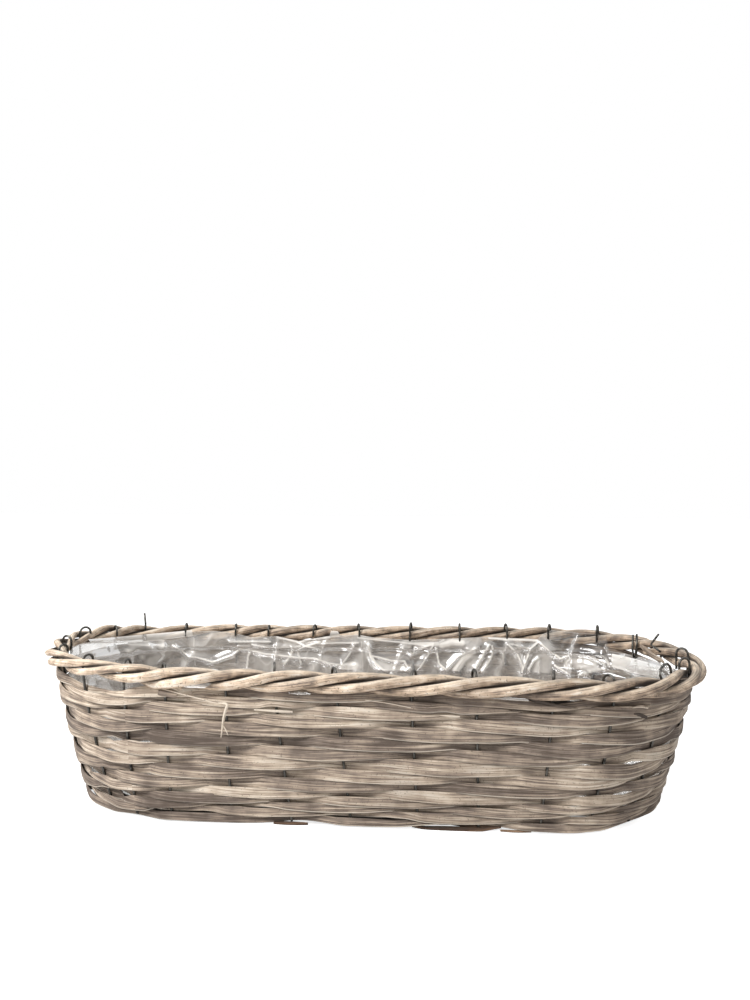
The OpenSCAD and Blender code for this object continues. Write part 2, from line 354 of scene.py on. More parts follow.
def add(tree, kind, settings=None, **inputs):
    """Adds a node. A setting is a property, and an input is a value or another node's output."""
    node = tree.nodes.new(kind)
    for key, value in (settings or {}).items():
        setattr(node, key, value)
    for key, value in inputs.items():
        socket = node.inputs[int(key[1:]) if key[0] == "i" and key[1:].isdigit() else key.replace("_", " ")]
        if isinstance(value, bpy.types.NodeSocket):
            tree.links.new(value, socket)
        else:
            socket.default_value = value
    return node


def new_material(name):
    material = bpy.data.materials.new(name)
    material.use_nodes = True
    material.node_tree.nodes.clear()
    return material, material.node_tree


def ramp(tree, factor, stops):
    """A colour ramp with stops given as (place, hex colour)."""
    node = add(tree, "ShaderNodeValToRGB", i0=factor)
    elements = node.color_ramp.elements
    while len(elements) < len(stops):
        elements.new(0.5)
    for element, (place, code) in zip(elements, stops):
        element.position = place
        element.color = linear(code)
    return node.outputs["Color"]


def finish_material(tree, shader):
    out = add(tree, "ShaderNodeOutputMaterial")
    tree.links.new(shader, out.inputs["Surface"])


# %% [markdown]
# Split willow is wood with straight grain. The skeins are washed grey, which
# leaves pale and dark streaks along the grain, greyer and warmer patches and
# small dark specks. A pale edge colour is mixed in where a value on the mesh
# asks for it: partly the paler worn edge of a skein, partly a painted highlight
# where an edge would catch the light. A second value mixes in painted shade, a
# near black brown, where shadow and shade fall on the wood. The surface is
# matt, so its roughness is high. A streak that is really 0.3 mm wide would not
# show from where the picture was taken, so the streaks here are two to three
# times as coarse. The peeled rods of the border carry the same wash, on
# smoother and warmer wood with more specks.

# %% Willow finishes
SPECK = 1.3 * MM
WASH = 43 * MM


def willow(name, stops, grey, edge, streak, vein, mottle, specks, roughness, relief):
    """Washed willow. streak and vein are the length and width of the grain, mottle the size and weight of spots."""
    material, tree = new_material(name)
    uv = add(tree, "ShaderNodeUVMap").outputs["UV"]
    place = add(tree, "ShaderNodeTexCoord").outputs["Object"]
    mark = {title: add(tree, "ShaderNodeAttribute", {"attribute_name": title}).outputs["Fac"]
            for title in ("tone", "seed", "rim", "painted_shade")}
    shift = add(tree, "ShaderNodeCombineXYZ", X=mark["seed"], Y=mark["seed"]).outputs["Vector"]
    grain = []
    for length, width in (streak, vein):
        stretched = add(tree, "ShaderNodeMapping", i1=shift, Vector=uv, Scale=(1 / length, 1 / width, 1))
        grain.append(add(tree, "ShaderNodeTexNoise", Vector=stretched.outputs["Vector"], Scale=1.0,
                         Detail=3.0, Roughness=0.6).outputs["Fac"])
    blotch = add(tree, "ShaderNodeTexNoise", Vector=place, Scale=1 / mottle[0], Detail=3.0).outputs["Fac"]
    shade = mark["tone"]
    for pattern, weight in ((grain[0], 2.0), (grain[1], 1.6), (blotch, mottle[1])):
        part = add(tree, "ShaderNodeMath", {"operation": "SUBTRACT"}, i0=pattern, i1=0.5).outputs[0]
        shade = add(tree, "ShaderNodeMath", {"operation": "MULTIPLY_ADD"}, i0=part, i1=weight, i2=shade).outputs[0]
    colour = ramp(tree, shade, stops)
    wash = add(tree, "ShaderNodeTexNoise", Vector=place, Scale=1 / WASH, Detail=2.0).outputs["Fac"]
    washed = add(tree, "ShaderNodeMapRange", Value=wash, From_Min=0.42, From_Max=0.62, To_Max=0.7).outputs["Result"]
    colour = add(tree, "ShaderNodeMix", {"data_type": "RGBA", "blend_type": "MULTIPLY"},
                 i0=washed, i6=colour, i7=linear(grey)).outputs[2]
    speck = add(tree, "ShaderNodeTexNoise", Vector=place, Scale=1 / SPECK, Detail=1.0).outputs["Fac"]
    specked = add(tree, "ShaderNodeMapRange", Value=speck, From_Min=0.64, From_Max=0.72,
                  To_Max=specks).outputs["Result"]
    colour = add(tree, "ShaderNodeMix", {"data_type": "RGBA"}, i0=specked, i6=colour,
                 i7=linear("#4b3d33")).outputs[2]
    crack = add(tree, "ShaderNodeMapRange", Value=grain[0], From_Min=0.4, From_Max=0.3, To_Max=0.55).outputs["Result"]
    colour = add(tree, "ShaderNodeMix", {"data_type": "RGBA"}, i0=crack, i6=colour,
                 i7=linear("#54463b")).outputs[2]
    # pale edge: partly worn wood, partly a painted highlight
    wear_and_highlight = add(tree, "ShaderNodeMapRange", Value=grain[0], From_Min=0.3, From_Max=0.6,
               To_Min=0.35, To_Max=1.0).outputs["Result"]
    wear_and_highlight = add(tree, "ShaderNodeMath", {"operation": "MULTIPLY"}, i0=mark["rim"], i1=wear_and_highlight).outputs[0]
    colour = add(tree, "ShaderNodeMix", {"data_type": "RGBA"}, i0=wear_and_highlight, i6=colour, i7=linear(edge)).outputs[2]
    # painted shade: darkens the wood towards a near black brown where shadow and shade fall
    colour = add(tree, "ShaderNodeMix", {"data_type": "RGBA"}, i0=mark["painted_shade"], i6=colour,
                 i7=linear("#2c231d")).outputs[2]
    height = add(tree, "ShaderNodeMath", {"operation": "ADD"}, i0=grain[0], i1=grain[1]).outputs[0]
    bump = add(tree, "ShaderNodeBump", Strength=relief, Distance=0.5 * MM, Height=height).outputs["Normal"]
    shader = add(tree, "ShaderNodeBsdfPrincipled", Base_Color=colour, Roughness=roughness, Normal=bump)
    finish_material(tree, shader.outputs["BSDF"])
    return material


strip_finish = willow(
    "washed_split_willow",
    [(0.0, "#5b4e44"), (0.32, "#84766a"), (0.55, "#a89684"), (0.8, "#c9b8a4"), (1.0, "#ddd0bf")],
    "#d2d0d0", "#e6dac9", (46 * MM, 1.1 * MM), (85 * MM, 3.2 * MM), (22 * MM, 1.3), 0.5, 0.75, 0.9)
rod_finish = willow(
    "washed_round_willow",
    [(0.0, "#6c5d50"), (0.3, "#9b8877"), (0.55, "#cab197"), (0.8, "#e0ccb5"), (1.0, "#eee2d2")],
    "#d0ccca", "#e9dcc8", (24 * MM, 0.9 * MM), (36 * MM, 3.0 * MM), (9 * MM, 1.5), 0.85, 0.62, 0.7)
base_finish = willow(
    "brown_split_willow",
    [(0.0, "#3a2a1f"), (0.35, "#5e4634"), (0.6, "#84664c"), (0.85, "#a5866a"), (1.0, "#b69a80")],
    "#c8c4c0", "#b89b80", (42 * MM, 0.85 * MM), (60 * MM, 2.6 * MM), (22 * MM, 1.2), 0.5, 0.75, 0.7)

# %% [markdown]
# The stakes are galvanised steel wire: a metal with a dull zinc skin, patchy
# in its gloss and dark where it has weathered.

# %% Galvanised wire
SPANGLE = 3 * MM


def galvanised():
    material, tree = new_material("galvanised_wire")
    place = add(tree, "ShaderNodeTexCoord").outputs["Object"]
    patch = add(tree, "ShaderNodeTexNoise", Vector=place, Scale=1 / SPANGLE, Detail=3.0).outputs["Fac"]
    colour = ramp(tree, patch, [(0.3, "#2b2a28"), (0.7, "#6b6863")])
    gloss = add(tree, "ShaderNodeMapRange", Value=patch, To_Min=0.28, To_Max=0.5).outputs["Result"]
    shader = add(tree, "ShaderNodeBsdfPrincipled", Base_Color=colour, Metallic=1.0, Roughness=gloss)
    finish_material(tree, shader.outputs["BSDF"])
    return material


wire_finish = galvanised()

# %% [markdown]
# The liner is clear polythene film, far thinner than glass. It hardly bends
# the light, but a mirror of the sky lies on every facet, most where the film
# is seen edge on, and a faint milky veil lies over what is behind it. So the
# shader is a mix: mostly transparent, part white, part gloss. How white each
# place is comes from a value on the mesh. That value holds the milkiness, and
# also painted highlights: white lines along the sharp creases and edges, and
# whiter folds, where the film would catch the light.

# %% Clear film
HAZE_SIZE = 30 * MM


def clear_film(name, milk_and_glint, gloss_from, gloss_to):
    """Film with white from a value on the mesh, which holds milkiness and painted highlights, plus an even milkiness,
    and gloss that grows towards its edges.
    """
    material, tree = new_material(name)
    place = add(tree, "ShaderNodeTexCoord").outputs["Object"]
    haze = add(tree, "ShaderNodeTexNoise", Vector=place, Scale=1 / HAZE_SIZE, Detail=4.0).outputs["Fac"]
    # the value on the mesh: milkiness and painted highlights
    facet = add(tree, "ShaderNodeAttribute", {"attribute_name": "milk_and_glint"}).outputs["Fac"]
    milky = add(tree, "ShaderNodeMapRange", Value=haze, From_Min=0.35, From_Max=0.65,
                To_Min=milk_and_glint, To_Max=milk_and_glint + 0.2).outputs["Result"]
    milky = add(tree, "ShaderNodeMath", {"operation": "ADD", "use_clamp": True}, i0=milky, i1=facet).outputs[0]
    edge_on = add(tree, "ShaderNodeLayerWeight", Blend=0.35).outputs["Fresnel"]
    cover = add(tree, "ShaderNodeMapRange", Value=edge_on, To_Min=gloss_from, To_Max=gloss_to).outputs["Result"]
    gloss = add(tree, "ShaderNodeBsdfGlossy", Color=linear("#ffffff"), Roughness=0.2).outputs["BSDF"]
    clear = add(tree, "ShaderNodeBsdfTransparent", Color=linear("#fbfcfc")).outputs["BSDF"]
    white = add(tree, "ShaderNodeBsdfDiffuse", Color=linear("#f8f2ea")).outputs["BSDF"]
    body = add(tree, "ShaderNodeMixShader", i0=milky, i1=clear, i2=white).outputs["Shader"]
    shader = add(tree, "ShaderNodeMixShader", i0=cover, i1=body, i2=gloss)
    finish_material(tree, shader.outputs["Shader"])
    return material


film_finish = clear_film("clear_polythene_film", 0.16, 0.07, 0.6)

# %% [markdown]
# ## The woven wall
#
# The wall is three-rod waling: each strip passes outside two stakes and inside
# the third, and every row starts one stake further on. The strips are wider
# than the rows are high, so they lap like shingles: a lower edge lies over the
# strip below in one long shallow arc. Beside the stake that a strip passes
# inside, the strip below stands in front of it with its upper edge, and a
# short piece of wire shows in the pocket between the two.

# %% How a strip runs
STRIP_SWING = 2.0 * MM
STRIP_BULGE = 1.2 * MM
STRIP_TILT = 0.9 * MM
STRIP_THICK = 1.2 * MM
POCKET_FROM, POCKET_TO = -0.38, 0.55
DROOP, LIFT, TUCK = 1.8 * MM, 0.4 * MM, 1.5 * MM
TOUCH = 0.12 * MM
STEPS_PER_STAKE = 14
RIM_BAND = 0.7 * MM
INNER_FACE = [0.86, 0.3, -0.3, -0.86]


def share_sum(k):
    return sum(1 + ROW_SWELL * math.cos(2 * math.pi * (j / ROWS - WIDEST_ROW) / ROW_WAVE)
               for j in range(1, k + 1))


SEAM_Z = [WALL_Z + (WALL_TOP - WALL_Z) * share_sum(k) / share_sum(ROWS) for k in range(ROWS + 1)]


def phase(k, t):
    """How far t lies past the last stake that row k passes inside, from 0 to 3."""
    return (t - k - 2) % 3


def side_of(k, t):
    """Where row k runs: 1 is outside the stakes, and -1 inside."""
    u = phase(k, t)
    return 2 * ease(min(u, 3 - u)) - 1


def at_end(t):
    """0 on the straight sides and 1 where the wall turns."""
    return ease((abs(line(s_at(t, 0))[0].x) - STRAIGHT) / (30 * MM))


# %% [markdown]
# The border does not lie on the weave all the way round. At the front left and
# the back right it has sprung up, so there the top rows sag away from it and
# the light shines through. The lowest row droops under the base in places.

# %% Heights of the seams
# (from stake, to stake, how far the top row sags in mm)
SPRUNG = [(28.2, 30.6, 3.6), (10.4, 13.5, 2.8), (6.2, 7.8, 2.6)]
# (seam, from stake, to stake, half the height of the open slit in mm)
SLITS = [(3, 28.7, 30.0, 1.4), (1, 30.3, 31.95, 1.0), (2, 2.05, 3.0, 0.6), (1, 3.5, 5.1, 1.0), (2, 7.3, 8.1, 0.7),
         (3, 8.1, 8.9, 0.8), (4, 9.1, 9.8, 0.9), (11, 9.5, 10.4, 1.3), (7, 10.3, 11.1, 1.4), (5, 9.9, 10.7, 1.1),
         (5, 28.2, 28.9, 1.0), (6, 28.9, 29.5, 0.8), (13, 5.2, 5.8, 0.7), (13, 2.6, 3.3, 0.7), (9, 9.3, 9.9, 0.7)]
TOP_REACH = 2.4 * MM
FOOT_REACH = 3.0 * MM
BARE_FOOT = (2.5, 4.0), (4.6, 6.8), (17.0, 18.7)


def seam_z(k, t):
    z = SEAM_Z[k]
    if k == 0:
        bare = sum(hump(t, *stretch, 0.75) for stretch in BARE_FOOT)
        return max(0.4 * MM, z - FOOT_REACH + 1.6 * MM * drift(t, 0.3, 3) + 2.4 * MM * bare)
    sprung = sum(sag * hump(t, start, end, 0.9) for start, end, sag in SPRUNG)
    z -= sprung * MM * (k / ROWS) ** 3
    if k < ROWS:
        return z + 1.5 * MM * drift(t, 0.33, k) + 0.5 * MM * drift(t, 1.3, k + 30)
    return z + TOP_REACH * max(0, 1 - sprung / 3) + 0.8 * MM * drift(t, 0.5, k)


def seam(k, t):
    """At the seam over row k: its upper edge, the next row's lower edge, how far that one lies in front."""
    z = seam_z(k, t)
    if k in (0, ROWS):
        return z, z, 0
    u = (phase(k + 1, t) - POCKET_FROM) % 3 + POCKET_FROM
    much = 1 + 0.5 * drift(t, 0.4, k + 60)
    gape = at_end(t) * max(0, drift(t, 0.7, k + 90) + 0.15) * 3 * MM if k < 12 else 0
    slit = sum(half * hump(t, start, end, 0.3) for row, start, end, half in SLITS if row == k) * MM
    if u < POCKET_TO:
        x = math.sin(math.pi * (u - POCKET_FROM) / (POCKET_TO - POCKET_FROM))
        meet = TOUCH - gape * (1 - x)
        return z + LIFT * much * x + meet - slit, z - TUCK * x - meet + slit, 0
    x = math.sin(math.pi * (u - POCKET_TO) / (3 - POCKET_TO + POCKET_FROM))
    meet = TOUCH - gape * (1 - x)
    open_slit = slit + 1.6 * slit * x
    return z + TUCK * x + meet - open_slit, z - DROOP * much * x - meet + open_slit, x ** 0.5


# %% [markdown]
# A row is not one endless strip. It is made of lengths that end and start
# behind a wire, where the colour and the grain change. The heights of a
# strip's points follow its own edges, with two of them kept for the pale lower
# edge, partly worn and partly a painted highlight, and two for a painted
# shadow under the strip above. Beside the stake that a strip passes inside, and
# on its inner face, the strip gets painted shade.

# %% Weave one row
def lengths_of_row(k):
    """For each stake interval, which length of strip it belongs to, as (tone, grain seed)."""
    inner = [i for i in range(STAKES) if i % 3 == (k + 2) % 3]
    cuts = sorted(random.sample(inner, 5))
    kinds = [(random.uniform(0.2, 0.7), random.uniform(0, 60)) for _ in cuts]
    return [kinds[sum(i >= cut for cut in cuts) - 1] for i in range(STAKES)]


def strip_heights(low, cover, top):
    return [low, low + RIM_BAND, low + 1.35 * RIM_BAND, low + 0.38 * (cover - low), low + 0.62 * (cover - low),
            cover - 1.5 * MM, cover - 0.5 * MM, top]


def weave_row(k):
    lengths = lengths_of_row(k)
    rings, tones, seeds, rims, painted_shades = [], [], [], [], []
    for h in range(STAKES * STEPS_PER_STAKE):
        t = (h + 0.5) / STEPS_PER_STAKE
        low = seam(k - 1, t)[1]
        top, cover, lapped = seam(k, t)
        cover = lapped * cover + (1 - lapped) * top
        side, u = side_of(k, t), phase(k, t)
        bend = math.sin(math.pi * (t % 1)) ** 2 * max(0, side) * (0.3 + 0.7 * at_end(t))
        centre = STRIP_SWING * side + STRIP_BULGE * bend + 0.9 * MM * drift(t, 0.6, k + 120)
        # painted shade beside the stake that the strip passes inside
        pocket_shade = 0.16 * ease(1.15 - min(u, 3 - u) / 0.6)
        lapped *= 0.75 + 0.35 * drift(t, 0.8, k + 210)
        ring, painted_shade = [], []
        heights = strip_heights(low, cover, top)
        for j, z in enumerate(heights):
            v = 2 * (z - low) / (top - low) - 1
            crown = STRIP_THICK / 2 * (1 - 0.45 * v * v) + 0.16 * MM * wander(t * 2.5, z * 900, k)
            ring.append(wall(s_at(t, z), z, centre - STRIP_TILT * v + crown))
            # painted shadow just under the lapped edge of the strip above
            shadow = lapped * (0, 0, 0, 0, 0.03, 0.2, 1, 1)[j]
            painted_shade.append(max(pocket_shade, shadow))
        for v in INNER_FACE:
            z = low + (top - low) * (v + 1) / 2
            ring.append(wall(s_at(t, z), z, centre - STRIP_TILT * v - STRIP_THICK / 2))
            # painted shade, even over the inner face
            painted_shade.append(0.35)
        tone, seed = lengths[math.floor(t)]
        rings.append(ring)
        tones.append([tone + 0.16 * drift(t, 0.5, k + 150)] * len(ring))
        seeds.append([seed] * len(ring))
        # pale lower edge: partly worn wood, partly a painted highlight
        wear_and_highlight = 0.12 + 0.6 * ease(0.5 + 1.8 * drift(t, 0.7, k + 180))
        rims.append([wear_and_highlight, wear_and_highlight] + [0] * (len(ring) - 2))
        painted_shades.append(painted_shade)
    row = skin(f"willow_row_{k}", rings, True, {"tone": tones, "seed": seeds, "rim": rims, "painted_shade": painted_shades})
    paint(row, strip_finish)
    return stand_for(row, "willow_strip", f"weaver_row_{k}")


woven_rows = [weave_row(k) for k in range(1, ROWS + 1)]
print("rows woven:", len(woven_rows), "faces a row:", len(woven_rows[0].data.polygons))

# %% [markdown]
# ## The border
#
# Three peeled rods are twisted round each other and round the tips of the
# stakes, a third of a turn from one stake to the next. Willow tapers and has
# small knots, so the radius changes along the rod. The grooves between the
# rods get painted shade, so each point knows how much it faces the middle, and
# the upper side of each rod gets a painted highlight.

# %% Twist the border
ROD_STEPS = 12
ROD_SIDES = 18
KNOT_STEP, KNOT_RISE = 2.3, 0.45 * MM
# (from stake, to stake, how far the border has sprung up in mm, how soon it does)
BORDER_SPRUNG = [(27.4, 30.9, 3.4, 1.1), (23.2, 28.6, 7.5, 2.2)]
SLIM_RODS = 24.8, 30.9


def sprung_border(t):
    return sum(rise * hump(t, start, end, soft) for start, end, rise, soft in BORDER_SPRUNG) * MM


def slim(t):
    """The rods are thinner where their tips lie, at the left end."""
    return 1 - 0.2 * hump(t, *SLIM_RODS, 1.5)


def border_rod(m):
    count = STAKES * ROD_STEPS
    path, core = [], []
    for h in range(count):
        t = h / ROD_STEPS
        a = math.radians(120 * (t + m) - 60)
        s = s_at(t, BORDER_Z)
        point = wall(s, BORDER_Z, ROD_SHIFT + ROD_SWING * math.cos(a))
        rise = sprung_border(t)
        path.append(point + Vector((0, 0, slim(t) * ROD_LIFT * math.sin(a) + rise)))
        core.append(wall(s, BORDER_Z, ROD_SHIFT) + Vector((0, 0, rise)))

    def radius(h, a):
        t = h / ROD_STEPS
        knot = math.exp(-((t + 0.7 * m) % KNOT_STEP - KNOT_STEP / 2) ** 2 / 0.006)
        swell = 0.3 * MM * drift(t, 0.25, m + 200) + 0.14 * MM * wander(t * 3, 2.2 * math.cos(a), 2.2 * math.sin(a))
        return slim(t) * ROD_D / 2 - 0.05 * MM + swell + KNOT_RISE * knot * max(0, math.sin(a + t))

    rings = tube_rings(path, radius, ROD_SIDES, closed=True)
    tones, painted_shades, rims = [], [], []
    for h, (ring, centre, middle) in enumerate(zip(rings, path, core)):
        t = h / ROD_STEPS
        # the rods are painted paler at the front left and darker towards the right and the back
        grey = 0.5 + 0.5 * math.tanh((centre.x / HALF_L + 0.6 * centre.y / HALF_W - 0.2) * 1.6)
        knot = math.exp(-((t + 0.7 * m) % KNOT_STEP - KNOT_STEP / 2) ** 2 / 0.004)
        inward = (middle - centre).normalized()
        tones.append([0.62 - 0.24 * grey + 0.2 * drift(t, 0.7, m + 220) - 0.3 * knot] * ROD_SIDES)
        # painted shade in the grooves, where a rod faces the middle of the border
        painted_shades.append([0.9 * ease(((p - centre).normalized().dot(inward) - 0.05) / 0.6) for p in ring])
        # painted highlight on the upper side of the rod
        rims.append([0.5 * ease((p - centre).normalized().z - 0.2) for p in ring])
    rod = skin(f"border_willow_{m}", rings, True,
               {"tone": tones, "seed": like(rings, 11.0 * m), "painted_shade": painted_shades, "rim": rims})
    paint(rod, rod_finish)
    return stand_for(rod, "willow_rod", f"border_rod_{m}")


border = [border_rod(m) for m in (1, 2, 3)]
print("border rods:", len(border))

# %% [markdown]
# ## The wires
#
# One wire makes two stakes: it comes up one side, crosses under the basket and
# goes up the other side. Each tip is bent over the inner border rod and back
# down. The hands that bent them were not all alike: a few hooks are wide
# arches that lie along the border, and one tip was left straight.

# %% Shape of a stake
HOOK_RISE, HOOK_SPREAD, HOOK_STEP = 3.5 * MM, 2.5 * MM, 137
HOOK_EXTRA = {2: -5.5, 3: 2.5, 4: 1.5, 5: 0.5, 6: 1, 7: 2.5, 8: 1.5, 10: 3, 11: 2.5, 14: 4, 15: 1.5, 16: 3, 17: 3.5,
              18: 2.5, 25: -1, 26: 1, 27: -1, 28: -1}
# wires that were bent by hand in other ways: pixels and places out from the stakes in mm
BENT_TIPS = {
    9: [(660, 673, -2), (660.5, 667, -3), (664, 662.5, -5), (667, 661.5, -7), (670, 664.5, -9), (671.5, 675, -11)],
    12: [(660, 652, -9), (655, 648.5, -10), (651, 645.3, -10), (654, 641, -10), (658.5, 635, -9)],
    13: [(636.8, 636, -10), (637, 646, -10.5), (636, 657, -11), (633.8, 659, -11.5), (632.4, 650, -11),
         (633, 636, -10)],
}
HOOK_R = (ROD_OFF + ROD_D / 2 + ROD_GAP + WIRE_D / 2) / 2
TAIL_DROP, SHORT_TAIL, SHORT_TAILS = 6 * MM, 2 * MM, (14, 15, 19, 20, 21, 22, 23, 25)
SPIKE_STAKE, SPIKE_H = 24, 22 * MM
BEND_R = 2 * MM
WIRE_SIDES = 10
HOOK_TURN = {4: 24, 5: -20, 8: 30, 10: 48, 11: -30, 25: -22, 26: 52, 27: -30, 28: 40, 1: 30}


def along(i, off, z):
    return wall(stake_s(i, z), z, off)


def hook(i):
    """The bent tip, a half circle over the inner rod, turned a little about the stake."""
    foot = along(i, 0, BORDER_Z) + Vector((0, 0, sprung_border(i)))
    if i in BENT_TIPS:
        return [wall(*seen_at(x, y, off * MM, i > 9), off * MM) for x, y, off in BENT_TIPS[i]]
    if i == SPIKE_STAKE:
        return [foot + Vector((-0.2 * MM, 0, SPIKE_H / 2)), foot + Vector((-1.5 * MM, 0, SPIKE_H))]
    rise = HOOK_RISE + HOOK_SPREAD * math.sin(math.radians(i * HOOK_STEP)) ** 2
    rise += HOOK_EXTRA.get(i, 0) * MM
    inward = (along(i, -1, BORDER_Z) - along(i, 0, BORDER_Z)).normalized()
    inward.rotate(Matrix.Rotation(math.radians(HOOK_TURN.get(i, 14 * math.sin(i * 2.4))), 3, "Z"))
    points = []
    for step in range(13):
        a = math.pi * step / 12
        points.append(foot + HOOK_R * (1 - math.cos(a)) * inward + Vector((0, 0, rise + HOOK_R * math.sin(a))))
    drop = SHORT_TAIL if i in SHORT_TAILS else TAIL_DROP
    points.append(foot + 2 * HOOK_R * inward - Vector((0, 0, drop)))
    return points


def stake_path(i):
    foot = along(i, 0, WIRE_Z + BEND_R)
    points = []
    for step in range(5):
        a = math.pi / 2 * step / 5
        p = along(i, BEND_R * (math.sin(a) - 1), WIRE_Z + BEND_R)
        points.append(Vector((p.x, p.y, foot.z - BEND_R * math.cos(a))))
    levels = 24
    for step in range(levels + 1):
        points.append(along(i, 0, WIRE_Z + BEND_R + (BORDER_Z - WIRE_Z - BEND_R) * step / levels))
    return points + hook(i)


def wire(name, path, side, node):
    piece = skin(name, tube_rings(path, WIRE_D / 2 + 0.15 * MM, WIRE_SIDES, up=side), False)
    paint(piece, wire_finish)
    return stand_for(piece, "galvanised_wire", node)


# %% Bend the cross wires
for k in range(1, CROSSES + 1):
    path = stake_path(k - 1)[::-1] + stake_path(2 * CROSSES + RAYS - k)
    wire(f"cross_stake_{k}", path, Vector((1, 0, 0)), f"cross_wire_{k}")
print("cross wires:", CROSSES)

# %% Lay out the base
RING_INNER = 0.15
WALL_OFF = WIRE_D / 2 + WIRE_GAP + STRIP_T / 2
INNER_OFF = WALL_OFF + STRIP_T / 2 + STRIP_GAP
RING_SHARE = (1 - INNER_OFF / (HALF_W - SIDE_LEAN) - RING_INNER) / BASE_RINGS
LAST_CROSS = max(abs(p) for p in CROSS_BASE) / 100 * (HALF_L - END_LEAN)
SLATH_GAP = 12 * MM
SLATH_X = LAST_CROSS + SLATH_GAP
OPEN_SHARE, GROUP_SHARE = 0.12, 0.5
BUNDLE_STEP = 4 * MM
BUNDLE_Z = WIRE_Z + WIRE_D + 0.2 * MM
BASE_OFF = WIRE_D / 2 + WIRE_GAP + 0.1 * MM + STRIP_T / 2


def base(s, share, z):
    """A point of the base, a share of the way out from the middle to the wall."""
    p = wall(s, 0)
    c = max(-SLATH_X, min(SLATH_X, p.x))
    return Vector((c + share * (p.x - c), share * p.y, z))


def is_ray(i):
    return CROSSES <= i < CROSSES + RAYS or i >= 2 * CROSSES + RAYS


def at_right(i):
    return i < CROSSES + RAYS


# %% Bend the lengthwise wires
def ray_start(i, m):
    end = 1 if at_right(i) else -1
    y = (m - (RAYS - 1) / 2) * BUNDLE_STEP
    return [base(stake_s(i, 0), OPEN_SHARE, WIRE_Z), Vector((end * (SLATH_X - SLATH_GAP / 2), y, BUNDLE_Z))]


for k in range(1, RAYS + 1):
    right_end, left_end = CROSSES + k - 1, STAKES - k
    half_a = stake_path(right_end)[::-1] + ray_start(right_end, k - 1)
    half_b = ray_start(left_end, k - 1)[::-1] + stake_path(left_end)
    out = line(stake_s(right_end, 0))[1]
    wire(f"lengthwise_stake_{k}", half_a + half_b, Vector((-out.y, out.x, 0)), f"lengthwise_wire_{k}")
print("lengthwise wires:", RAYS)

# %% [markdown]
# ## The base
#
# The base is woven from brown rods, three side by side, which pass over and
# under the wires in turn.

# %% Weave the base
BASE_RODS = 3
BASE_STEPS = 8
BASE_THICK, BASE_WIDE = 0.85, 1.95


def ring_side(j, i, share):
    turned = 1 if j % 2 == 0 else -1
    if share < GROUP_SHARE and is_ray(i):
        return -turned if at_right(i) else turned
    return turned if i % 2 == 0 else -turned


def base_rod(j, r):
    inner = RING_INNER + (j - 1) * RING_SHARE
    share = inner + RING_SHARE * (r + 0.5) / BASE_RODS
    path = []
    for h in range(STAKES * BASE_STEPS):
        t = h / BASE_STEPS
        i = math.floor(t)
        here, there = ring_side(j, i % STAKES, inner), ring_side(j, (i + 1) % STAKES, inner)
        side = here + (there - here) * ease(t - i)
        path.append(base(s_at(t, 0), share, WIRE_Z + BASE_OFF * side))
    flat = []
    for p, ring in zip(path, tube_rings(path, MM, 10, closed=True)):
        flat.append([p + Vector((BASE_WIDE * (q - p).x, BASE_WIDE * (q - p).y, BASE_THICK * (q - p).z))
                     for q in ring])
    tones = [[0.5 + 0.35 * wander(p.x * 12, p.y * 12, j * 3 + r)] * 10 for p in path]
    marks = {"tone": tones, "seed": like(flat, 5.0 * j + r)}
    return skin(f"base_rod_{j}_{r}", flat, True, marks)


def joined(parts, name):
    bpy.ops.object.select_all(action="DESELECT")
    for part in parts:
        part.select_set(True)
    bpy.context.view_layer.objects.active = parts[0]
    bpy.ops.object.join()
    whole = bpy.context.object
    whole.name = whole.data.name = name
    return whole


def base_ring(j):
    ring = joined([base_rod(j, r) for r in range(BASE_RODS)], f"base_willow_{j}")
    paint(ring, base_finish)
    return stand_for(ring, "base_willow", f"base_ring_{j}")


base_rings = [base_ring(j) for j in range(1, BASE_RINGS + 1)]
print("base rings:", len(base_rings))
